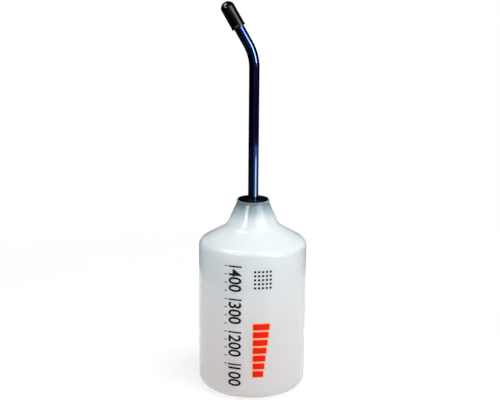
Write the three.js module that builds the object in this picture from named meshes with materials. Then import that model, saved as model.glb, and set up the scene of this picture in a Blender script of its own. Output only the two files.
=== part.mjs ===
// A squeeze bottle for refuelling small engines: a blown bottle, a rubber stopper in its mouth, a
// bent metal spout through the stopper and a rubber cap on the spout's tip.
// Millimetres, +Z up. The origin is the centre of the base, and the spout leans towards -X.
import * as THREE from "three";

// Driving dimensions of the blown bottle
const BODY_RADIUS = 38;
const BODY_HEIGHT = 106.5; // to the sharp corner that the shoulder's round replaces
const BOTTLE_HEIGHT = 135.8; // base to the top of the lip
const WALL = 1.2;
const BASE_ROUND = 8.5;
const SHOULDER_ROUND = 6;
const NECK_FOOT_RADIUS = 18.4; // where the shoulder's slope meets the neck's cone
const NECK_FOOT_HEIGHT = 117.8;
const NECK_ROUND = 11.3;
const LIP_RADIUS = 11.5;
const LIP_BAND = 1.6; // height of the plain band at the top of the neck
const LIP_STEP = 0.25; // how far the band stands out from the cone's top
const LIP_EDGE = 0.4;
const MOUTH_RADIUS = 9.6;
const MOUTH_LENGTH = 4.8; // straight stretch of the mouth that the plug seals
const PUNT_RADIUS = 24; // the hollow under the base
const PUNT_RISE = 2.4;
const PUNT_SLOPE = 3;

// Stopper
const FLANGE_RADIUS = 10.7;
const FLANGE_THICKNESS = 1;
const FLANGE_RIM = 1.1; // width of the raised edge round the dished top
const FLANGE_EDGE = 0.3;
const DISH_DEPTH = 0.45;
const BOSS_RADIUS = 5.3;
const PLUG_LENGTH = 8.5;
const PLUG_CLEARANCE = 0.3; // between the sealing ribs and the mouth
const RIB_DEPTH = 0.7;
const RIB_HEIGHT = 1.6;
const RIB_COUNT = 3;
const PLUG_CHAMFER = 1;

// Spout
const TUBE_RADIUS = 3.6;
const TUBE_WALL = 1;
const TUBE_CLEARANCE = 0.3; // round the spout, in the stopper and in the cap
const TUBE_TAIL = 2; // how far the spout reaches below the plug
const BEND_HEIGHT = 227.7; // where the straight stretch ends
const BEND_RADIUS = 33.2;
const BEND_ANGLE = THREE.MathUtils.degToRad(30);
const CAP_START = 12.6; // from the bend's end to the cap's open end, along the spout
const CAP_GRIP = 14.5; // length of spout inside the cap

// Tip cap
const CAP_RADIUS = 4.8;
const CAP_LENGTH = 19.3;
const CAP_DOME = 4.3;
const CAP_END_WALL = 1.7;
const CAP_BEAD = 0.2; // how far the rolled edge at the open end stands out
const CAP_BEAD_HEIGHT = 1.4;

// Fineness of the facets
const BOTTLE_SIDES = 64;
const SMALL_SIDES = 32;
const ROUND_STEPS = 6;
const BEND_STEPS = 10;

const point = (x, y) => new THREE.Vector2(x, y);

// A path through corners [x, y, radius], with each corner that has a radius turned into an arc.
function roundedPath(corners) {
  const path = [];
  corners.forEach(([x, y, radius = 0], i) => {
    const corner = point(x, y);
    if (!radius) {
      path.push(corner);
      return;
    }
    const before = point(...corners[i - 1]).sub(corner).normalize();
    const after = point(...corners[i + 1]).sub(corner).normalize();
    const half = Math.acos(THREE.MathUtils.clamp(before.dot(after), -1, 1)) / 2;
    const middle = before.clone().add(after).normalize();
    const centre = corner.clone().addScaledVector(middle, radius / Math.sin(half));
    const start = corner.clone().addScaledVector(before, radius / Math.tan(half)).sub(centre);
    const turn = Math.PI - 2 * half;
    const side = Math.sign(before.x * after.y - before.y * after.x);
    for (let k = 0; k <= ROUND_STEPS; k++) {
      const spoke = start.clone().rotateAround(point(0, 0), (-side * turn * k) / ROUND_STEPS);
      path.push(spoke.add(centre));
    }
  });
  return path;
}

// The same corners moved to the right of the path by a distance. Rounds that bulge shrink by it.
function offsetCorners(corners, distance) {
  return corners.map(([x, y, radius = 0], i) => {
    const corner = point(x, y);
    const before = i > 0 ? corner.clone().sub(point(...corners[i - 1])).normalize() : null;
    const after =
      i < corners.length - 1 ? point(...corners[i + 1]).sub(corner).normalize() : null;
    const a = before ?? after;
    const b = after ?? before;
    const across = point(a.y + b.y, -a.x - b.x).normalize();
    const reach = distance / across.dot(point(a.y, -a.x));
    const moved = corner.addScaledVector(across, reach);
    const turn = a.x * b.y - a.y * b.x;
    return [moved.x, moved.y, radius ? radius + Math.sign(turn) * distance : 0];
  });
}

// A profile of (radius, height) points turned about Z.
function turned(profile, sides) {
  return new THREE.LatheGeometry(profile, sides).rotateX(Math.PI / 2);
}

function finish(colour, roughness, metalness = 0) {
  return new THREE.MeshStandardMaterial({ color: colour, roughness, metalness });
}

function piece(name, geometry, material) {
  const mesh = new THREE.Mesh(geometry, material);
  mesh.name = name;
  return mesh;
}

// Blown bottle: body, sloping shoulder, conical neck and plain lip, with one even wall
function makeBottle() {
  const coneTop = BOTTLE_HEIGHT - LIP_BAND;
  const outside = [
    [0, 0],
    [BODY_RADIUS, 0, BASE_ROUND],
    [BODY_RADIUS, BODY_HEIGHT, SHOULDER_ROUND],
    [NECK_FOOT_RADIUS, NECK_FOOT_HEIGHT, NECK_ROUND],
    [LIP_RADIUS - LIP_STEP, coneTop],
  ];
  const inside = offsetCorners(outside, -WALL).slice(1, -1);
  const punt = [
    point(0, PUNT_RISE),
    point(PUNT_RADIUS - PUNT_SLOPE, PUNT_RISE),
    point(PUNT_RADIUS, 0),
  ];
  const puntInside = [
    point(PUNT_RADIUS + WALL / 2, WALL),
    point(PUNT_RADIUS - PUNT_SLOPE + WALL / 2, PUNT_RISE + WALL),
    point(0, PUNT_RISE + WALL),
  ];
  const mouthFoot = BOTTLE_HEIGHT - MOUTH_LENGTH;
  const outer = roundedPath(outside).slice(1);
  const inner = roundedPath([[0, WALL], ...inside, [MOUTH_RADIUS, mouthFoot]]).slice(1);
  const profile = [
    ...punt,
    ...outer,
    point(LIP_RADIUS, coneTop),
    point(LIP_RADIUS, BOTTLE_HEIGHT - LIP_EDGE),
    point(LIP_RADIUS - LIP_EDGE, BOTTLE_HEIGHT),
    point(MOUTH_RADIUS, BOTTLE_HEIGHT),
    ...inner.reverse(),
    ...puntInside,
  ];
  return piece("bottle", turned(profile, BOTTLE_SIDES), finish(0xe6e8ec, 0.35));
}

// Rubber stopper: dished flange on the lip, and a ribbed plug with a hole for the spout
function makeStopper() {
  const top = FLANGE_THICKNESS;
  const dish = FLANGE_THICKNESS - DISH_DEPTH;
  const hole = TUBE_RADIUS + TUBE_CLEARANCE;
  const sealRadius = MOUTH_RADIUS - PLUG_CLEARANCE;
  const coreRadius = sealRadius - RIB_DEPTH;
  const profile = [
    point(hole, -PLUG_LENGTH),
    point(coreRadius - PLUG_CHAMFER, -PLUG_LENGTH),
    point(coreRadius, -PLUG_LENGTH + PLUG_CHAMFER),
  ];
  const pitch = (PLUG_LENGTH - PLUG_CHAMFER) / RIB_COUNT;
  for (let i = RIB_COUNT - 1; i >= 0; i--) {
    const middle = -pitch * (i + 0.5);
    profile.push(
      point(coreRadius, middle - RIB_HEIGHT / 2),
      point(sealRadius, middle),
      point(coreRadius, middle + RIB_HEIGHT / 2),
    );
  }
  profile.push(
    point(coreRadius, 0),
    point(FLANGE_RADIUS - FLANGE_EDGE, 0),
    point(FLANGE_RADIUS, FLANGE_EDGE),
    point(FLANGE_RADIUS, top - FLANGE_EDGE),
    point(FLANGE_RADIUS - FLANGE_EDGE, top),
    point(FLANGE_RADIUS - FLANGE_RIM, top),
    point(FLANGE_RADIUS - FLANGE_RIM - DISH_DEPTH, dish),
    point(BOSS_RADIUS, dish),
    point(BOSS_RADIUS - DISH_DEPTH / 2, top - DISH_DEPTH / 2),
    point(hole, top - DISH_DEPTH / 2),
    point(hole, -PLUG_LENGTH),
  );
  return piece("stopper", turned(profile, BOTTLE_SIDES), finish(0x0b0b0c, 0.5));
}

// The spout's centre line: straight up, one bend, and straight again. Its stations are the ends of
// the straight stretches and the bend's facets, so that u steps from one to the next.
class SpoutLine extends THREE.Curve {
  constructor(foot, tipLength) {
    super();
    const bend = Array.from({ length: BEND_STEPS + 1 }, (_, k) => (BEND_ANGLE * k) / BEND_STEPS);
    this.stations = [
      { place: new THREE.Vector3(0, 0, foot), angle: 0 },
      ...bend.map((angle) => ({ place: SpoutLine.onBend(angle), angle })),
    ];
    const end = SpoutLine.onBend(BEND_ANGLE).addScaledVector(
      SpoutLine.direction(BEND_ANGLE),
      tipLength,
    );
    this.stations.push({ place: end, angle: BEND_ANGLE });
  }

  static direction(angle) {
    return new THREE.Vector3(-Math.sin(angle), 0, Math.cos(angle));
  }

  static onBend(angle) {
    const across = -BEND_RADIUS * (1 - Math.cos(angle));
    return new THREE.Vector3(across, 0, BEND_HEIGHT + BEND_RADIUS * Math.sin(angle));
  }

  get steps() {
    return this.stations.length - 1;
  }

  station(u) {
    return this.stations[Math.round(u * this.steps)];
  }

  getPointAt(u, target = new THREE.Vector3()) {
    return target.copy(this.station(u).place);
  }

  getTangentAt(u, target = new THREE.Vector3()) {
    return target.copy(SpoutLine.direction(this.station(u).angle));
  }
}

// Bent metal spout, an open tube from just below the plug to inside the cap
function makeSpout(line) {
  const ring = new THREE.Shape().absarc(0, 0, TUBE_RADIUS, 0, 2 * Math.PI);
  ring.holes.push(new THREE.Path().absarc(0, 0, TUBE_RADIUS - TUBE_WALL, 0, 2 * Math.PI, true));
  const geometry = new THREE.ExtrudeGeometry(ring, {
    steps: line.steps,
    extrudePath: line,
    curveSegments: SMALL_SIDES,
    bevelEnabled: false,
  });
  return piece("spout_tube", geometry, finish(0x0a1470, 0.2, 1));
}

// Rubber cap on the tip: a domed sleeve with a rolled edge, drawn along +Z from its open end
function makeTipCap() {
  const inner = TUBE_RADIUS + TUBE_CLEARANCE;
  const domeFoot = CAP_LENGTH - CAP_DOME;
  const depth = CAP_LENGTH - CAP_END_WALL;
  const profile = [
    point(0, depth),
    point(inner * 0.8, depth),
    point(inner, depth - inner * 0.2),
    point(inner, 0),
    point(CAP_RADIUS - CAP_BEAD, 0),
    point(CAP_RADIUS + CAP_BEAD, CAP_BEAD),
    point(CAP_RADIUS + CAP_BEAD, CAP_BEAD_HEIGHT - CAP_BEAD),
    point(CAP_RADIUS, CAP_BEAD_HEIGHT),
  ];
  const domeSteps = 2 * ROUND_STEPS;
  for (let k = 0; k <= domeSteps; k++) {
    const angle = (Math.PI / 2) * (k / domeSteps);
    const radius = k < domeSteps ? CAP_RADIUS * Math.cos(angle) : 0;
    profile.push(point(radius, domeFoot + CAP_DOME * Math.sin(angle)));
  }
  return piece("tip_cap", turned(profile, SMALL_SIDES), finish(0x0b0b0c, 0.35));
}

const group = new THREE.Group();
group.add(makeBottle());

const stopper = makeStopper();
stopper.position.z = BOTTLE_HEIGHT;
group.add(stopper);

const spoutFoot = BOTTLE_HEIGHT - PLUG_LENGTH - TUBE_TAIL;
group.add(makeSpout(new SpoutLine(spoutFoot, CAP_START + CAP_GRIP)));

const tipCap = makeTipCap();
const capDirection = SpoutLine.direction(BEND_ANGLE);
tipCap.position.copy(SpoutLine.onBend(BEND_ANGLE).addScaledVector(capDirection, CAP_START));
tipCap.quaternion.setFromUnitVectors(new THREE.Vector3(0, 0, 1), capDirection);
group.add(tipCap);

export default group;
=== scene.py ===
"""Dresses the squeeze fuel bottle: milky bottle, rubber stopper, anodised spout, rubber tip cap."""
import math

import bmesh
import bpy
from mathutils import Matrix, Vector


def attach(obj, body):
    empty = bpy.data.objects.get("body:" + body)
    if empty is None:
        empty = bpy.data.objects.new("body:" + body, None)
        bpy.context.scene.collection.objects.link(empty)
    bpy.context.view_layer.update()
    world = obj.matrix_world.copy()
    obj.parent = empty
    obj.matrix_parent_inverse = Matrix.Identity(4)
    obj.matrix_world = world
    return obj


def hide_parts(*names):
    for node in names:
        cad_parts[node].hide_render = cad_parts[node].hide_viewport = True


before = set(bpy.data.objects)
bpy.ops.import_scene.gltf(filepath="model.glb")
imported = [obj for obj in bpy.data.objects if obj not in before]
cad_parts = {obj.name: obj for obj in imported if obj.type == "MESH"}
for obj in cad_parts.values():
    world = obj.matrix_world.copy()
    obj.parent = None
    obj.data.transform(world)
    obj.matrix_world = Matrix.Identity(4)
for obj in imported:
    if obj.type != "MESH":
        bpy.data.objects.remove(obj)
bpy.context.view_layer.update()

MM = 0.001

# Camera: the place it was fitted to, seen from just above the bottle's mouth
CAMERA_PLACE = (-2.19 * MM, -712.08 * MM, 302.47 * MM)
CAMERA_ELEVATION = math.radians(13.2)
CAMERA_ROLL = math.radians(0.5)
CAMERA_LENS = 75.02
CAMERA_SENSOR = 36.0
CAMERA_CLIP = 0.01

# Bottle, millimetres
BODY_RADIUS = 38.0
BODY_HEIGHT = 106.5
BOTTLE_HEIGHT = 135.8
WALL = 1.2
BASE_ROUND = 8.5
SHOULDER_ROUND = 6.0
NECK_FOOT = (18.4, 117.8)
NECK_ROUND = 11.3
LIP_RADIUS = 11.5
LIP_BAND = 1.6
LIP_STEP = 0.25
LIP_FOOT = 0.15
LIP_EDGE = 0.4
MOUTH_RADIUS = 9.6
MOUTH_LENGTH = 4.8
PUNT_RADIUS = 24.0
PUNT_RISE = 2.4
PUNT_SLOPE = 3.0

# Stopper, millimetres
FLANGE_RADIUS = 10.7
FLANGE_THICKNESS = 1.0
FLANGE_RIM = 1.1
FLANGE_EDGE = 0.3
DISH_DEPTH = 0.45
DISH_ROUND = 0.2
BOSS_RADIUS = 5.3
BOSS_FOOT_ROUND = 0.15
BOSS_TOP_ROUND = 0.1
PLUG_LENGTH = 8.5
PLUG_CLEARANCE = 0.3
RIB_DEPTH = 0.7
RIB_HEIGHT = 1.6
RIB_COUNT = 3
RIB_CREST_FALL = 0.1
RIB_CREST_HALF = 0.15
PLUG_CHAMFER = 1.0

# Spout and tip cap, millimetres
TUBE_RADIUS = 3.6
TUBE_WALL = 1.0
TUBE_CLEARANCE = 0.3
TUBE_TAIL = 2.0
BEND_HEIGHT = 227.7
BEND_RADIUS = 33.2
BEND_ANGLE = math.radians(30)
CAP_START = 12.6
CAP_GRIP = 14.5
CAP_RADIUS = 4.8
CAP_LENGTH = 19.3
CAP_DOME = 4.3
CAP_END_WALL = 1.7
CAP_BEAD = 0.2
CAP_BEAD_HEIGHT = 1.4

# Heights over which a colour changes to the next, millimetres
# Painted light tone: the body turns from warm low down to cool at the top, as the light falls.
BODY_LIGHT_TONE_PAINTED_HEIGHTS = (20, 110)
# Painted shade: the neck top turns dark blue-grey here for the plug's shadow and the tube's
# reflection.
PLUG_SHADE_PAINTED_HEIGHTS = (123, 134)
# Painted shade and highlight tint on the spout: darker violet in the middle, cyan-blue at the foot
# and the tip.
SPOUT_PAINTED_SHADE_HEIGHTS = (158, 185)
SPOUT_PAINTED_GLINT_HEIGHTS = (212, 236)

# Print on the body, millimetres: arc length to the right of the front line, and height.
# Stroke widening and narrowing are shares of the numeral's size.
INK_OUT = 0.05
HALO_OUT = 0.025
INK_DEPTH = 0.07
SCALE_LEFT = -17.0
SCALE_RIGHT = -7.4
SCALE_HEIGHTS = {100: 26.9, 200: 50.4, 300: 73.9, 400: 97.5}
NUMERAL_HEIGHT = 9.2
NUMERAL_NARROWING = 0.86
NUMERAL_DROP = 1.9
STROKE_WIDENING = 0.018
LINE_THICKNESS = 1.05
LINE_ROUND = 0.3
TICK_THICKNESS = 0.6
TICK_LENGTH = 2.0
TICK_ROUND = 0.2
TICK_GAP = 1.0
TICKS_PER_LINE = 4
DOT_RADIUS = 0.82
DOT_COUNT = 5
DOT_PITCH = (2.72, 2.85)
DOTS_LOW_LEFT = (0.9, 82.0)
BAR_COUNT = 7
BAR_PITCH = 5.7
BAR_HEIGHT = 4.4
BAR_LEFT = 0.6
BAR_LOW = 20.6
BAR_WIDTHS = (7.4, 11.6)
BAR_ROUND = 0.6
HALO_MARGIN = 0.7
HALO_ROUND = 0.3
HALO_OVERLAP = 0.2

# Fineness of the round pieces, and the widest flat strip of print in millimetres
BODY_SIDES = 160
SMALL_SIDES = 72
ROUND_STEPS = 10
BEND_STEPS = 36
CORNER_STEPS = 4
DOT_SIDES = 20
STRIP_WIDTH = 1.0
SHARP_ANGLE = 40
BOTTLE_SHARP_ANGLE = 50


def rounded_path(corners):
    """Points along corners (x, y) or (x, y, radius), with an arc for each radius."""
    path = []
    for i, corner in enumerate(corners):
        here = Vector(corner[:2])
        radius = corner[2] if len(corner) > 2 else 0
        if not radius:
            path.append(here)
            continue
        before = (Vector(corners[i - 1][:2]) - here).normalized()
        after = (Vector(corners[i + 1][:2]) - here).normalized()
        half = before.angle(after) / 2
        centre = here + (before + after).normalized() * (radius / math.sin(half))
        start = here + before * (radius / math.tan(half)) - centre
        side = math.copysign(1, before.x * after.y - before.y * after.x)
        turn = math.pi - 2 * half
        for k in range(ROUND_STEPS + 1):
            angle = -side * turn * k / ROUND_STEPS
            spoke = Matrix.Rotation(angle, 2) @ start
            path.append(centre + spoke)
    return path


def moved_inwards(corners, wall):
    """The same corners moved to the left of the path by the wall."""
    moved = []
    for i, corner in enumerate(corners):
        here = Vector(corner[:2])
        radius = corner[2] if len(corner) > 2 else 0
        first = here - Vector(corners[i - 1][:2]) if i else None
        last = Vector(corners[i + 1][:2]) - here if i < len(corners) - 1 else None
        a = (first or last).normalized()
        b = (last or first).normalized()
        across = Vector((-a.y - b.y, a.x + b.x)).normalized()
        reach = wall / across.dot(Vector((-a.y, a.x)))
        place = here + across * reach
        bulge = math.copysign(1, a.x * b.y - a.y * b.x)
        moved.append((place.x, place.y, radius - bulge * wall if radius else 0))
    return moved


def plain_object(name, mesh):
    piece = bpy.data.objects.new(name, mesh)
    bpy.context.scene.collection.objects.link(piece)
    return piece


def turned(name, profile, sides, sharp_angle=SHARP_ANGLE):
    """A closed body turned about Z from (radius, height) points in millimetres."""
    shape = bmesh.new()
    rings = []
    for radius, height in profile:
        if radius < 1e-6:
            rings.append([shape.verts.new((0, 0, height * MM))])
            continue
        ring = []
        for k in range(sides):
            angle = 2 * math.pi * k / sides
            ring.append(shape.verts.new((radius * MM * math.cos(angle),
                                         radius * MM * math.sin(angle), height * MM)))
        rings.append(ring)
    closes = len(rings[0]) > 1
    pairs = list(zip(rings, rings[1:] + rings[:1] if closes else rings[1:]))
    for low, high in pairs:
        for k in range(sides):
            after = (k + 1) % sides
            face = [low[k % len(low)], low[after % len(low)],
                    high[after % len(high)], high[k % len(high)]]
            corners = list(dict.fromkeys(face))
            if len(corners) > 2:
                shape.faces.new(corners)
    bmesh.ops.recalc_face_normals(shape, faces=shape.faces)
    mesh = bpy.data.meshes.new(name)
    shape.to_mesh(mesh)
    shape.free()
    mesh.shade_smooth()
    mesh.set_sharp_from_angle(angle=math.radians(sharp_angle))
    return plain_object(name, mesh)


def spout_direction(angle):
    return Vector((-math.sin(angle), 0, math.cos(angle)))


def place_on_bend(angle):
    across = -BEND_RADIUS * (1 - math.cos(angle))
    return Vector((across, 0, BEND_HEIGHT + BEND_RADIUS * math.sin(angle)))


# Geometry Nodes helpers
def new_tree(name, sockets):
    """A Geometry Nodes tree with a geometry input, named inputs, and a geometry output."""
    tree = bpy.data.node_groups.new(name, "GeometryNodeTree")
    tree.interface.new_socket("Geometry", in_out="INPUT", socket_type="NodeSocketGeometry")
    for socket_name, kind in sockets:
        tree.interface.new_socket(socket_name, in_out="INPUT", socket_type=kind)
    tree.interface.new_socket("Geometry", in_out="OUTPUT", socket_type="NodeSocketGeometry")
    return tree


def node(tree, kind, inputs=None, **settings):
    """A node with its settings, and its inputs as values or as sockets to link from."""
    made = tree.nodes.new(kind)
    for key, value in settings.items():
        setattr(made, key, value)
    for key, value in (inputs or {}).items():
        if isinstance(value, bpy.types.NodeSocket):
            tree.links.new(value, made.inputs[key])
        else:
            made.inputs[key].default_value = value
    return made


def math_node(tree, operation, first, second=0.0):
    return node(tree, "ShaderNodeMath", {0: first, 1: second}, operation=operation).outputs[0]


def wrap_tree():
    """Bends a flat layout (arc length, height, out) round the body's wall."""
    tree = new_tree("wrap_on_body", [("Radius", "NodeSocketFloat")])
    given = node(tree, "NodeGroupInput")
    place = node(tree, "ShaderNodeSeparateXYZ",
                 {0: node(tree, "GeometryNodeInputPosition").outputs[0]})
    radius = given.outputs["Radius"]
    angle = math_node(tree, "DIVIDE", place.outputs["X"], radius)
    reach = math_node(tree, "ADD", radius, place.outputs["Z"])
    across = math_node(tree, "MULTIPLY", reach, math_node(tree, "SINE", angle))
    depth = math_node(tree, "MULTIPLY", reach, math_node(tree, "COSINE", angle))
    towards = math_node(tree, "MULTIPLY", depth, -1.0)
    bent = node(tree, "ShaderNodeCombineXYZ", {0: across, 1: towards, 2: place.outputs["Y"]})
    moved = node(tree, "GeometryNodeSetPosition",
                 {"Geometry": given.outputs["Geometry"], "Position": bent.outputs[0]})
    node(tree, "NodeGroupOutput", {"Geometry": moved.outputs[0]})
    return tree


def marks_tree(wrap):
    """Repeats one printed mark in columns and rows, each row wider, and wraps them all."""
    tree = new_tree("printed_marks", [
        ("Columns", "NodeSocketInt"), ("Rows", "NodeSocketInt"),
        ("Column Pitch", "NodeSocketFloat"), ("Row Pitch", "NodeSocketFloat"),
        ("Left", "NodeSocketFloat"), ("Low", "NodeSocketFloat"), ("Out", "NodeSocketFloat"),
        ("Widening", "NodeSocketFloat"), ("Radius", "NodeSocketFloat"),
        ("Ink", "NodeSocketMaterial")])
    given = node(tree, "NodeGroupInput").outputs
    count = math_node(tree, "MULTIPLY", given["Columns"], given["Rows"])
    index = node(tree, "GeometryNodeInputIndex").outputs[0]
    row = math_node(tree, "FLOOR", math_node(tree, "DIVIDE", index, given["Columns"]))
    column = math_node(tree, "MODULO", index, given["Columns"])
    x = math_node(tree, "ADD", given["Left"],
                  math_node(tree, "MULTIPLY", column, given["Column Pitch"]))
    y = math_node(tree, "ADD", given["Low"],
                  math_node(tree, "MULTIPLY", row, given["Row Pitch"]))
    places = node(tree, "ShaderNodeCombineXYZ", {0: x, 1: y, 2: given["Out"]})
    points = node(tree, "GeometryNodePoints",
                  {"Count": count, "Position": places.outputs[0]})
    wider = math_node(tree, "ADD", 1.0,
                      math_node(tree, "MULTIPLY", row, given["Widening"]))
    scale = node(tree, "ShaderNodeCombineXYZ", {0: wider, 1: 1.0, 2: 1.0})
    marks = node(tree, "GeometryNodeInstanceOnPoints",
                 {"Points": points.outputs[0], "Instance": given["Geometry"],
                  "Scale": scale.outputs[0]})
    real = node(tree, "GeometryNodeRealizeInstances", {"Geometry": marks.outputs[0]})
    bent = node(tree, "GeometryNodeGroup", node_tree=wrap)
    tree.links.new(real.outputs[0], bent.inputs["Geometry"])
    tree.links.new(given["Radius"], bent.inputs["Radius"])
    inked = node(tree, "GeometryNodeSetMaterial",
                 {"Geometry": bent.outputs[0], "Material": given["Ink"]})
    node(tree, "NodeGroupOutput", {"Geometry": inked.outputs[0]})
    return tree


def pipe_tree():
    """Sweeps a round section along a line of edges."""
    tree = new_tree("pipe_along_line", [
        ("Radius", "NodeSocketFloat"), ("Sides", "NodeSocketInt"),
        ("Finish", "NodeSocketMaterial")])
    given = node(tree, "NodeGroupInput").outputs
    line = node(tree, "GeometryNodeMeshToCurve", {"Mesh": given["Geometry"]})
    section = node(tree, "GeometryNodeCurvePrimitiveCircle",
                   {"Resolution": given["Sides"], "Radius": given["Radius"]})
    pipe = node(tree, "GeometryNodeCurveToMesh",
                {"Curve": line.outputs[0], "Profile Curve": section.outputs[0]})
    real = node(tree, "GeometryNodeRealizeInstances", {"Geometry": pipe.outputs[0]})
    finished = node(tree, "GeometryNodeSetMaterial",
                    {"Geometry": real.outputs[0], "Material": given["Finish"]})
    node(tree, "NodeGroupOutput", {"Geometry": finished.outputs[0]})
    return tree


def give_inputs(modifier, values):
    for item in modifier.node_group.interface.items_tree:
        if item.in_out == "INPUT" and item.name in values:
            modifier[item.identifier] = values[item.name]


def grown(name, mesh, tree, values, wall):
    """Runs a tree on a mesh, gives the result a wall inwards, and keeps it as a plain mesh."""
    source = plain_object(name + "_source", mesh)
    modifier = source.modifiers.new("Grow", "NODES")
    modifier.node_group = tree
    give_inputs(modifier, values)
    shell = source.modifiers.new("Wall", "SOLIDIFY")
    shell.thickness = wall
    shell.offset = -1.0
    shell.use_even_offset = False
    graph = bpy.context.evaluated_depsgraph_get()
    result = bpy.data.meshes.new_from_object(source.evaluated_get(graph), depsgraph=graph)
    bpy.data.objects.remove(source)
    result.name = name
    return plain_object(name, result)


# Materials
def unevenness_group():
    """Slow and fine variation over a surface, as a 0 to 1 value and as a height."""
    tree = bpy.data.node_groups.new("surface_unevenness", "ShaderNodeTree")
    for socket_name in ("Slow Scale", "Fine Scale", "Fine Share"):
        tree.interface.new_socket(socket_name, in_out="INPUT", socket_type="NodeSocketFloat")
    for socket_name in ("Value", "Height"):
        tree.interface.new_socket(socket_name, in_out="OUTPUT", socket_type="NodeSocketFloat")
    given = node(tree, "NodeGroupInput").outputs
    place = node(tree, "ShaderNodeTexCoord").outputs["Object"]
    slow = node(tree, "ShaderNodeTexNoise",
                {"Vector": place, "Scale": given["Slow Scale"], "Detail": 2.0})
    fine = node(tree, "ShaderNodeTexNoise",
                {"Vector": place, "Scale": given["Fine Scale"], "Detail": 3.0})
    mixed = node(tree, "ShaderNodeMix",
                 {0: given["Fine Share"], 2: slow.outputs[0], 3: fine.outputs[0]})
    node(tree, "NodeGroupOutput", {"Value": slow.outputs[0], "Height": mixed.outputs[0]})
    return tree


def mapped(tree, value, low, high, start=0.0, end=1.0):
    """Value carried from the range start to end onto the range low to high."""
    return node(tree, "ShaderNodeMapRange", {
        "Value": value, "From Min": start, "From Max": end,
        "To Min": low, "To Max": high}).outputs[0]


def blended(tree, factor, first, second):
    mix = node(tree, "ShaderNodeMix", {0: factor, 6: first, 7: second}, data_type="RGBA")
    return mix.outputs[2]


def set_values(made, values):
    for socket_name, value in values.items():
        made.inputs[socket_name].default_value = value


def new_material(name, unevenness, slow, fine, share):
    """A Principled material with the unevenness group at its own scales."""
    material = bpy.data.materials.new(name)
    material.use_nodes = True
    tree = material.node_tree
    tree.nodes.clear()
    uneven = node(tree, "ShaderNodeGroup", node_tree=unevenness)
    set_values(uneven, {"Slow Scale": slow, "Fine Scale": fine, "Fine Share": share})
    shader = node(tree, "ShaderNodeBsdfPrincipled")
    out = node(tree, "ShaderNodeOutputMaterial", {"Surface": shader.outputs[0]})
    return material, tree, uneven, shader, out


def by_height(tree, place, heights):
    """0 below the first height, 1 above the second."""
    low, high = heights
    return mapped(tree, place.outputs["Z"], 0.0, 1.0, low * MM, high * MM)


def bumped(tree, height, strength, distance):
    return node(tree, "ShaderNodeBump", {
        "Height": height, "Strength": strength, "Distance": distance}).outputs[0]


def milky_plastic(unevenness):
    """Blown polyethylene: milky, with a painted light tone, warm low down and cool at the top, and
    painted shade at the neck top for the plug's shadow and the tube's reflection.
    """
    # Painted light tone: one milky plastic, painted warm low down and cool at the top, as the light
    # falls.
    warm = (0.93, 0.905, 0.895, 1)
    cool = (0.885, 0.925, 0.94, 1)
    cloudy = (0.88, 0.895, 0.91, 1)
    painted_plug_shade = (0.45, 0.565, 0.625, 1)
    light_through = 0.32
    seam_half = 0.35 * MM
    seam_rise = 0.6
    material, tree, uneven, shader, out = new_material(
        "milky_polyethylene", unevenness, 22.0, 900.0, 0.35)
    place = node(tree, "ShaderNodeSeparateXYZ",
                 {0: node(tree, "ShaderNodeTexCoord").outputs["Object"]})
    painted_light_tint = blended(tree, by_height(tree, place, BODY_LIGHT_TONE_PAINTED_HEIGHTS), warm, cool)
    cloud = mapped(tree, uneven.outputs["Value"], 0.0, 0.35, 0.35, 0.65)
    clouded = blended(tree, cloud, painted_light_tint, cloudy)
    # Painted shade over the plug: the neck top is darkened and blued for the plug's shadow and the
    # tube's reflection.
    colour = blended(tree, by_height(tree, place, PLUG_SHADE_PAINTED_HEIGHTS), clouded, painted_plug_shade)
    tree.links.new(colour, shader.inputs["Base Color"])
    rough = mapped(tree, uneven.outputs["Value"], 0.3, 0.38)
    tree.links.new(rough, shader.inputs["Roughness"])
    set_values(shader, {"IOR": 1.25, "Transmission Weight": 0.66, "Coat Weight": 1.0,
                        "Coat Roughness": 0.04, "Coat IOR": 1.52})
    glow = node(tree, "ShaderNodeBsdfTranslucent", {"Color": colour})
    both = node(tree, "ShaderNodeMixShader",
                {0: light_through, 1: shader.outputs[0], 2: glow.outputs[0]})
    tree.links.new(both.outputs[0], out.inputs["Surface"])
    parting = math_node(tree, "ABSOLUTE", place.outputs["Y"])
    seam = mapped(tree, parting, seam_rise, 0.0, 0.0, seam_half)
    relief = math_node(tree, "ADD", uneven.outputs["Height"], seam)
    tree.links.new(bumped(tree, relief, 0.12, 0.2 * MM), shader.inputs["Normal"])
    return material


def black_rubber(name, unevenness, roughness, shine, colour, relief):
    """Moulded rubber, with a faint bloom in clouds and a fine relief."""
    bloom = 2.2
    material, tree, uneven, shader, out = new_material(name, unevenness, 90.0, 2600.0, 0.6)
    cloud = mapped(tree, uneven.outputs["Value"], 0.0, 1.0, 0.35, 0.65)
    dusty = tuple(bloom * c for c in colour) + (1,)
    tree.links.new(blended(tree, cloud, colour + (1,), dusty), shader.inputs["Base Color"])
    rough = mapped(tree, uneven.outputs["Height"], *roughness, 0.3, 0.7)
    tree.links.new(rough, shader.inputs["Roughness"])
    set_values(shader, {"Specular IOR Level": shine})
    tree.links.new(bumped(tree, uneven.outputs["Height"], relief, 0.006 * MM),
                   shader.inputs["Normal"])
    return material


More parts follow.
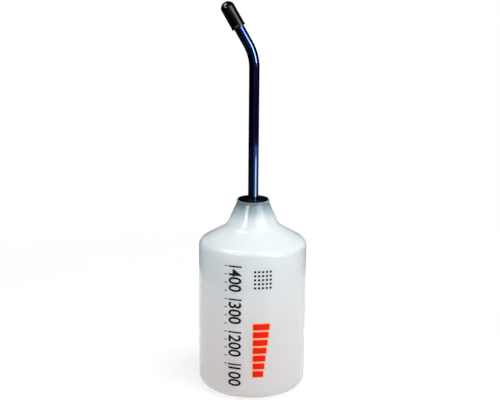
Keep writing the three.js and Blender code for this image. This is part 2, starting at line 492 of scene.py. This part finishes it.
def blue_anodised(unevenness):
    """Polished aluminium under a blue anodised skin, with a painted highlight tint, cyan-blue at
    both ends where the streaks fall, and painted shade, darker violet between.
    """
    # Painted highlight tint at the foot and the tip; painted shade, darker violet, in the middle.
    foot_blue_painted_glint = (0.030, 0.095, 0.230, 1)
    foot_blue_painted_glint_worn = (0.034, 0.085, 0.205, 1)
    violet_painted_shade = (0.016, 0.006, 0.300, 1)
    tip_blue_painted_glint = (0.026, 0.060, 0.255, 1)
    material, tree, uneven, shader, out = new_material(
        "blue_anodised_aluminium", unevenness, 60.0, 1500.0, 0.5)
    cloud = mapped(tree, uneven.outputs["Value"], 0.0, 1.0, 0.35, 0.65)
    low = blended(tree, cloud, foot_blue_painted_glint, foot_blue_painted_glint_worn)
    place = node(tree, "ShaderNodeSeparateXYZ",
                 {0: node(tree, "ShaderNodeTexCoord").outputs["Object"]})
    middle = blended(tree, by_height(tree, place, SPOUT_PAINTED_SHADE_HEIGHTS), low, violet_painted_shade)
    colour = blended(tree, by_height(tree, place, SPOUT_PAINTED_GLINT_HEIGHTS), middle, tip_blue_painted_glint)
    tree.links.new(colour, shader.inputs["Base Color"])
    set_values(shader, {"Metallic": 1.0, "Coat Weight": 0.4, "Coat Roughness": 0.03,
                        "Coat IOR": 1.6})
    rough = mapped(tree, uneven.outputs["Height"], 0.05, 0.08, 0.3, 0.7)
    tree.links.new(rough, shader.inputs["Roughness"])
    tree.links.new(bumped(tree, uneven.outputs["Height"], 0.12, 0.004 * MM),
                   shader.inputs["Normal"])
    return material


def ink(name, unevenness, colour, worn):
    """Printing ink, matt and a little uneven."""
    material, tree, uneven, shader, out = new_material(name, unevenness, 250.0, 3200.0, 0.7)
    cloud = mapped(tree, uneven.outputs["Height"], 0.0, 1.0, 0.42, 0.62)
    tree.links.new(blended(tree, cloud, colour, worn), shader.inputs["Base Color"])
    rough = mapped(tree, uneven.outputs["Value"], 0.38, 0.5)
    tree.links.new(rough, shader.inputs["Roughness"])
    set_values(shader, {"Specular IOR Level": 0.08})
    return material


unevenness = unevenness_group()
milk = milky_plastic(unevenness)
stopper_rubber = black_rubber(
    "stopper_rubber", unevenness, roughness=(0.22, 0.3), shine=0.12,
    colour=(0.0016, 0.0016, 0.0019), relief=0.25)
cap_rubber = black_rubber(
    "cap_rubber", unevenness, roughness=(0.05, 0.09), shine=0.35,
    colour=(0.0012, 0.0012, 0.0014), relief=0.06)
blue = blue_anodised(unevenness)
black_ink = ink("black_ink", unevenness, (0.006, 0.006, 0.007, 1), (0.016, 0.016, 0.017, 1))
orange_ink = ink("orange_ink", unevenness, (1.0, 0.012, 0.001, 1), (0.93, 0.020, 0.003, 1))
halo_ink = ink("pale_orange_ink", unevenness, (1.0, 0.54, 0.31, 1), (0.97, 0.62, 0.42, 1))


def dressed(piece, body, material=None, stands_for=None):
    """Gives a finished piece its material, its body and the node it stands for."""
    if material:
        piece.data.materials.clear()
        piece.data.materials.append(material)
    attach(piece, body)
    if stands_for:
        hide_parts(stands_for)


# Bottle
def bottle_profile():
    cone_top = BOTTLE_HEIGHT - LIP_BAND
    outside = [
        (PUNT_RADIUS, 0),
        (BODY_RADIUS, 0, BASE_ROUND),
        (BODY_RADIUS, BODY_HEIGHT, SHOULDER_ROUND),
        (*NECK_FOOT, NECK_ROUND),
        (LIP_RADIUS - LIP_STEP, cone_top),
    ]
    inside = moved_inwards(outside, WALL)[1:-1]
    mouth_foot = BOTTLE_HEIGHT - MOUTH_LENGTH
    bevel = LIP_EDGE * 0.3
    outer = rounded_path(outside)
    inner = rounded_path([(0, WALL), *inside, (MOUTH_RADIUS, mouth_foot)])[1:]
    lip = [
        (LIP_RADIUS, cone_top + LIP_FOOT),
        (LIP_RADIUS, BOTTLE_HEIGHT - LIP_EDGE),
        (LIP_RADIUS - bevel, BOTTLE_HEIGHT - bevel),
        (LIP_RADIUS - LIP_EDGE, BOTTLE_HEIGHT),
        (MOUTH_RADIUS, BOTTLE_HEIGHT),
    ]
    punt = [(0, PUNT_RISE), (PUNT_RADIUS - PUNT_SLOPE, PUNT_RISE)]
    punt_inside = [
        (PUNT_RADIUS + WALL / 2, WALL),
        (PUNT_RADIUS - PUNT_SLOPE + WALL / 2, PUNT_RISE + WALL),
        (0, PUNT_RISE + WALL),
    ]
    return [*punt, *outer, *lip, *reversed(inner), *punt_inside]


bottle = turned("milky_bottle", bottle_profile(), BODY_SIDES, BOTTLE_SHARP_ANGLE)
dressed(bottle, "bottle", milk, "bottle")


# Stopper
def stopper_profile():
    hole = TUBE_RADIUS + TUBE_CLEARANCE
    seal = MOUTH_RADIUS - PLUG_CLEARANCE
    core = seal - RIB_DEPTH
    top = FLANGE_THICKNESS
    profile = [
        (hole, -PLUG_LENGTH),
        (core - PLUG_CHAMFER, -PLUG_LENGTH),
        (core, -PLUG_LENGTH + PLUG_CHAMFER),
    ]
    pitch = (PLUG_LENGTH - PLUG_CHAMFER) / RIB_COUNT
    for i in reversed(range(RIB_COUNT)):
        middle = -pitch * (i + 0.5)
        profile += [
            (core, middle - RIB_HEIGHT / 2),
            (seal - RIB_CREST_FALL, middle - RIB_CREST_HALF),
            (seal, middle),
            (seal - RIB_CREST_FALL, middle + RIB_CREST_HALF),
            (core, middle + RIB_HEIGHT / 2),
        ]
    rim_inner = FLANGE_RADIUS - FLANGE_RIM
    dish = top - DISH_DEPTH
    profile += [(core, 0)] + rounded_path([
        (FLANGE_RADIUS - 2 * FLANGE_EDGE, 0),
        (FLANGE_RADIUS, 0, FLANGE_EDGE),
        (FLANGE_RADIUS, top, FLANGE_EDGE),
        (rim_inner, top, DISH_ROUND),
        (rim_inner - DISH_DEPTH, dish, DISH_ROUND),
        (BOSS_RADIUS, dish, BOSS_FOOT_ROUND),
        (BOSS_RADIUS - DISH_DEPTH / 2, dish + DISH_DEPTH / 2, BOSS_TOP_ROUND),
        (hole, dish + DISH_DEPTH / 2),
    ])
    return [(x, y + BOTTLE_HEIGHT) for x, y in profile]


stopper = turned("rubber_stopper", stopper_profile(), SMALL_SIDES)
dressed(stopper, "stopper", stopper_rubber, "stopper")


# Spout
line = [Vector((0, 0, BOTTLE_HEIGHT - PLUG_LENGTH - TUBE_TAIL))]
line += [place_on_bend(BEND_ANGLE * k / BEND_STEPS) for k in range(BEND_STEPS + 1)]
line.append(line[-1] + spout_direction(BEND_ANGLE) * (CAP_START + CAP_GRIP))
line_mesh = bpy.data.meshes.new("spout_line")
line_mesh.from_pydata([p * MM for p in line], [(i, i + 1) for i in range(len(line) - 1)], [])
spout = grown("blue_spout", line_mesh, pipe_tree(),
              {"Radius": TUBE_RADIUS * MM, "Sides": SMALL_SIDES, "Finish": blue},
              TUBE_WALL * MM)
spout.data.shade_smooth()
spout.data.set_sharp_from_angle(angle=math.radians(SHARP_ANGLE))
dressed(spout, "spout", blue, "spout_tube")


# Tip cap
def cap_profile():
    inner = TUBE_RADIUS + TUBE_CLEARANCE
    depth = CAP_LENGTH - CAP_END_WALL
    dome_foot = CAP_LENGTH - CAP_DOME
    edge = CAP_RADIUS + CAP_BEAD
    chamfer = inner * 0.2
    profile = [(0, depth), (inner - chamfer, depth), (inner, depth - chamfer), (inner, 0)]
    profile += rounded_path([
        (CAP_RADIUS - CAP_BEAD, 0),
        (edge, 0, CAP_BEAD),
        (edge, CAP_BEAD_HEIGHT, CAP_BEAD),
        (CAP_RADIUS, CAP_BEAD_HEIGHT + CAP_BEAD),
    ])
    steps = 2 * ROUND_STEPS
    for k in range(steps + 1):
        angle = math.pi / 2 * k / steps
        radius = CAP_RADIUS * math.cos(angle) if k < steps else 0
        profile.append((radius, dome_foot + CAP_DOME * math.sin(angle)))
    return profile


cap = turned("rubber_tip_cap", cap_profile(), SMALL_SIDES)
cap_place = place_on_bend(BEND_ANGLE) + spout_direction(BEND_ANGLE) * CAP_START
cap.data.transform(Matrix.Translation(cap_place * MM) @ Matrix.Rotation(-BEND_ANGLE, 4, "Y"))
dressed(cap, "tip_cap", cap_rubber, "tip_cap")


# Print
def flat_mark(name, outline):
    """A flat filled outline in millimetres, cut upright so that it can bend round the body."""
    shape = bmesh.new()
    shape.faces.new([shape.verts.new((x * MM, y * MM, 0)) for x, y in outline])
    cut_upright(shape)
    mesh = bpy.data.meshes.new(name)
    shape.to_mesh(mesh)
    shape.free()
    return mesh


def cut_upright(shape):
    """Cuts a flat shape into upright strips, which stay flat when it is bent."""
    strip = STRIP_WIDTH * MM
    low = min(v.co.x for v in shape.verts)
    high = max(v.co.x for v in shape.verts)
    for k in range(1, math.ceil((high - low) / strip)):
        parts = shape.verts[:] + shape.edges[:] + shape.faces[:]
        bmesh.ops.bisect_plane(shape, geom=parts, plane_co=(low + k * strip, 0, 0),
                               plane_no=(1, 0, 0))


def disc(radius):
    angles = [2 * math.pi * k / DOT_SIDES for k in range(DOT_SIDES)]
    return [(radius * math.cos(angle), radius * math.sin(angle)) for angle in angles]


def bar(width, height, corner):
    """A bar from its left edge, centred on its height, with rounded corners."""
    right = width - corner
    top = height / 2 - corner
    outline = []
    for x, y, start in ((right, top, 0), (corner, top, 90), (corner, -top, 180),
                        (right, -top, 270)):
        for k in range(CORNER_STEPS + 1):
            angle = math.radians(start + 90 * k / CORNER_STEPS)
            outline.append((x + corner * math.cos(angle), y + corner * math.sin(angle)))
    return outline


def printed(name, outline, finish, columns=1, rows=1, pitch=(0, 0), left=0.0, low=0.0,
            out=INK_OUT, widening=0.0):
    """Prints a mark on the body, in columns and rows from its lower left place."""
    values = {"Columns": columns, "Rows": rows, "Column Pitch": pitch[0] * MM,
              "Row Pitch": pitch[1] * MM, "Left": left * MM, "Low": low * MM, "Out": out * MM,
              "Widening": widening, "Radius": BODY_RADIUS * MM, "Ink": finish}
    piece = grown(name, flat_mark(name, outline), marks, values, INK_DEPTH * MM)
    dressed(piece, "bottle")


def numeral(text, top):
    """A number that reads downwards, with its top end just under its line on the scale."""
    curve = bpy.data.curves.new(f"numeral_{text}", "FONT")
    curve.body = text
    curve.size = 1.0
    curve.offset = STROKE_WIDENING
    source = plain_object(f"numeral_{text}_text", curve)
    graph = bpy.context.evaluated_depsgraph_get()
    mesh = bpy.data.meshes.new_from_object(source.evaluated_get(graph), depsgraph=graph)
    bpy.data.objects.remove(source)
    xs = [v.co.x for v in mesh.vertices]
    ys = [v.co.y for v in mesh.vertices]
    size = NUMERAL_HEIGHT / (max(ys) - min(ys))
    middle = (SCALE_LEFT + SCALE_RIGHT) / 2
    start = Matrix.Translation((-min(xs), -(max(ys) + min(ys)) / 2, 0))
    turn = Matrix.Rotation(-math.pi / 2, 4, "Z")
    place = Matrix.Translation((middle * MM, (top - NUMERAL_DROP) * MM, INK_OUT * MM))
    scale = Matrix.Diagonal((size * NUMERAL_NARROWING * MM, size * MM, 1, 1))
    mesh.transform(place @ turn @ scale @ start)
    shape = bmesh.new()
    shape.from_mesh(mesh)
    bmesh.ops.remove_doubles(shape, verts=shape.verts, dist=1e-6)
    cut_upright(shape)
    shape.to_mesh(mesh)
    shape.free()
    values = {"Columns": 1, "Rows": 1, "Radius": BODY_RADIUS * MM, "Ink": black_ink}
    piece = grown(f"numeral_{text}", mesh, marks, values, INK_DEPTH * MM)
    dressed(piece, "bottle")


marks = marks_tree(wrap_tree())
for volume, level in SCALE_HEIGHTS.items():
    numeral(str(volume), level)
scale_steps = len(SCALE_HEIGHTS) - 1
scale_pitch = (SCALE_HEIGHTS[400] - SCALE_HEIGHTS[100]) / scale_steps
printed("scale_lines", bar(SCALE_RIGHT - SCALE_LEFT, LINE_THICKNESS, LINE_ROUND), black_ink,
        rows=scale_steps + 1, pitch=(0, scale_pitch), left=SCALE_LEFT, low=SCALE_HEIGHTS[100])
printed("scale_ticks", bar(TICK_LENGTH, TICK_THICKNESS, TICK_ROUND), black_ink,
        rows=scale_steps * TICKS_PER_LINE + 1, pitch=(0, scale_pitch / TICKS_PER_LINE),
        left=SCALE_LEFT - TICK_GAP - TICK_LENGTH, low=SCALE_HEIGHTS[100])
printed("dot_grid", disc(DOT_RADIUS), black_ink, DOT_COUNT, DOT_COUNT, DOT_PITCH,
        DOTS_LOW_LEFT[0] + DOT_RADIUS, DOTS_LOW_LEFT[1] + DOT_RADIUS)
widening = (BAR_WIDTHS[1] / BAR_WIDTHS[0] - 1) / (BAR_COUNT - 1)
printed("level_bars", bar(BAR_WIDTHS[0], BAR_HEIGHT, BAR_ROUND), orange_ink,
        rows=BAR_COUNT, pitch=(0, BAR_PITCH), left=BAR_LEFT, low=BAR_LOW, widening=widening)
halo_widths = [width + 2 * HALO_MARGIN for width in BAR_WIDTHS]
halo_widening = (halo_widths[1] / halo_widths[0] - 1) / (BAR_COUNT - 1)
printed("level_bars_edge", bar(halo_widths[0], BAR_PITCH + HALO_OVERLAP, HALO_ROUND), halo_ink,
        rows=BAR_COUNT, pitch=(0, BAR_PITCH), left=BAR_LEFT - HALO_MARGIN, low=BAR_LOW,
        out=HALO_OUT, widening=halo_widening)


# Studio, metres: the floor turns plain white between its near and far distance
FLOOR_SIZE = 16.0
FLOOR_NEAR = 0.06
FLOOR_FAR = 0.5
WHITE_NEAR = 0.8
SKY_ON_THE_OBJECT = 0.15
AIM = (0, 0, 0.15)
SHOULDER_LEFT = (-0.014, 0, 0.104)
BASE_AIM = (0, 0, 0.036)
CANOPY_HALF = 0.3
CANOPY_HEIGHT = 0.5
CARD_STEP = 5

# Cards: first and last azimuth in degrees to the right of the camera, radius, foot, top, grey
CARDS = {
    "black_card": (98, 346, 0.3, 0.12, 0.46, 0.0),
    "low_back_card": (98, 240, 0.3, 0.0, 0.12, 0.0),
    "low_left_card": (240, 346, 0.3, 0.06, 0.12, 0.04),
    "lowest_left_card": (240, 346, 0.3, 0.0, 0.06, 0.16),
    "grey_card": (346, 384, 0.55, 0.0, 0.36, 0.12),
    "right_card": (24, 98, 0.56, 0.075, 0.2, 0.08),
    "right_high_card": (74, 98, 0.56, 0.2, 0.75, 0.0),
    "right_front_card": (24, 44, 0.56, 0.2, 0.4, 0.0),
}

# Bright cards: azimuth and elevation in degrees, distance, width and height, strength, target
GLOWS = {
    "left_window_glow": (-46, 29, 0.33, (0.18, 0.15), 10.0, AIM),
    "right_window_glow": (52, 38, 1.0, (0.8, 0.44), 5.0, AIM),
    "spout_window_glow": (52, 15, 1.06, (0.3, 0.42), 20.0, AIM),
    "left_side_glow": (-84, 67, 0.33, (0.12, 0.13), 9.0, SHOULDER_LEFT),
}

# Lamps: azimuth, elevation, distance, width and height, radiance, target, seen in gloss
LAMPS = {
    "right_window": (60, 30, 1.0, (0.9, 0.45), 2.7, AIM, False),
    "left_softbox": (-42, 36, 1.1, (0.6, 0.28), 0.6, AIM, False),
    "top_softbox": (35, 72, 1.0, (0.5, 0.5), 18.0, AIM, False),
    "low_strip": (55, 0, 0.5, (0.18, 0.07), 7.0, BASE_AIM, True),
}


def background_rays(tree):
    """1 for the rays that see the background: camera, glossy and transmission rays."""
    rays = node(tree, "ShaderNodeLightPath").outputs
    through = math_node(tree, "MAXIMUM", rays["Is Glossy Ray"], rays["Is Transmission Ray"])
    return math_node(tree, "MAXIMUM", rays["Is Camera Ray"], through)


def floor_material():
    """Pale and lit round the bottle, where the shadow falls, and plain white further out."""
    material = bpy.data.materials.new("pale_floor")
    material.use_nodes = True
    tree = material.node_tree
    tree.nodes.clear()
    seen = (0.95, 0.95, 0.95, 1)
    in_bounces = (0.5, 0.48, 0.48, 1)
    bounced = node(tree, "ShaderNodeLightPath").outputs["Is Diffuse Ray"]
    paint = blended(tree, bounced, seen, in_bounces)
    lit = node(tree, "ShaderNodeBsdfDiffuse", {"Color": paint}).outputs[0]
    white = node(tree, "ShaderNodeEmission", {"Color": (1, 1, 1, 1), "Strength": 1.0}).outputs[0]
    place = node(tree, "ShaderNodeTexCoord").outputs["Object"]
    distance = node(tree, "ShaderNodeVectorMath", {0: place}, operation="LENGTH").outputs["Value"]
    far = mapped(tree, distance, WHITE_NEAR, 1.0, FLOOR_NEAR, FLOOR_FAR)
    share = math_node(tree, "MULTIPLY", far, background_rays(tree))
    mixed = node(tree, "ShaderNodeMixShader", {0: share, 1: lit, 2: white}).outputs[0]
    node(tree, "ShaderNodeOutputMaterial", {"Surface": mixed})
    return material


def level_square(half, height):
    return [(-half, -half, height), (half, -half, height), (half, half, height),
            (-half, half, height)]


floor_mesh = bpy.data.meshes.new("pale_floor")
floor_mesh.from_pydata(level_square(FLOOR_SIZE / 2, 0), [], [(0, 1, 2, 3)])
floor = plain_object("pale_floor", floor_mesh)
floor_mesh.materials.append(floor_material())


def studio_card(name, first, last, radius, low, high, grey):
    """A curved card round the bottle, as a studio keeps metal dark."""
    steps = max(2, round((last - first) / CARD_STEP))
    points = []
    for k in range(steps + 1):
        a = math.radians(first + (last - first) * k / steps)
        points += [(radius * math.sin(a), -radius * math.cos(a), low),
                   (radius * math.sin(a), -radius * math.cos(a), high)]
    faces = [(2 * k, 2 * k + 2, 2 * k + 3, 2 * k + 1) for k in range(steps)]
    hang_card(name, points, faces, grey)


def hang_card(name, points, faces, strength):
    """Hangs a card that only gloss sees."""
    mesh = bpy.data.meshes.new(name)
    mesh.from_pydata(points, [], faces)
    material = bpy.data.materials.new(name)
    material.use_nodes = True
    material.node_tree.nodes.clear()
    glow = node(material.node_tree, "ShaderNodeEmission",
                {"Color": (1, 1, 1, 1), "Strength": strength})
    node(material.node_tree, "ShaderNodeOutputMaterial", {"Surface": glow.outputs[0]})
    mesh.materials.append(material)
    card = plain_object(name, mesh)
    card.visible_camera = False
    card.visible_diffuse = False
    card.visible_transmission = False
    card.visible_shadow = False


def direction(azimuth, elevation):
    """The way from the bottle, with azimuth to the right of the camera, in degrees."""
    a = math.radians(azimuth)
    e = math.radians(elevation)
    return Vector((math.sin(a) * math.cos(e), -math.cos(a) * math.cos(e), math.sin(e)))


def glow_card(name, azimuth, elevation, distance, size, strength, target):
    """A bright flat card that draws a window's highlight."""
    towards = direction(azimuth, elevation)
    turn = towards.to_track_quat("Z", "Y").to_matrix()
    corners = [(-1, -1), (1, -1), (1, 1), (-1, 1)]
    points = [Vector(target) + towards * distance
              + turn @ Vector((x * size[0] / 2, y * size[1] / 2, 0)) for x, y in corners]
    hang_card(name, points, [(0, 1, 2, 3)], strength)


for name, values in CARDS.items():
    studio_card(name, *values)
hang_card("dark_canopy", level_square(CANOPY_HALF, CANOPY_HEIGHT), [(0, 1, 2, 3)], 0.0)
for name, values in GLOWS.items():
    glow_card(name, *values)


def softbox(name, azimuth, elevation, distance, size, radiance, target, gloss):
    """A soft lamp aimed at its target on the bottle."""
    lamp = bpy.data.lights.new(name, "AREA")
    lamp.shape = "RECTANGLE"
    lamp.size = size[0]
    lamp.size_y = size[1]
    lamp.energy = radiance * math.pi * size[0] * size[1]
    light = plain_object(name, lamp)
    towards = direction(azimuth, elevation)
    light.location = Vector(target) + towards * distance
    light.rotation_euler = towards.to_track_quat("Z", "Y").to_euler()
    light.visible_glossy = gloss


for name, values in LAMPS.items():
    softbox(name, *values)

world = bpy.data.worlds.new("studio")
bpy.context.scene.world = world
world.use_nodes = True
tree = world.node_tree
tree.nodes.clear()
strength = mapped(tree, background_rays(tree), SKY_ON_THE_OBJECT, 1.0)
background = node(tree, "ShaderNodeBackground",
                  {"Color": (1, 1, 1, 1), "Strength": strength})
node(tree, "ShaderNodeOutputWorld", {"Surface": background.outputs[0]})

camera_data = bpy.data.cameras.new("camera")
camera_data.lens = CAMERA_LENS
camera_data.sensor_width = CAMERA_SENSOR
camera_data.clip_start = CAMERA_CLIP
camera = plain_object("camera", camera_data)
camera.matrix_world = (Matrix.Translation(CAMERA_PLACE)
                       @ Matrix.Rotation(math.pi / 2 - CAMERA_ELEVATION, 4, "X")
                       @ Matrix.Rotation(CAMERA_ROLL, 4, "Z"))
bpy.context.scene.camera = camera
bpy.context.scene.view_settings.view_transform = "Standard"
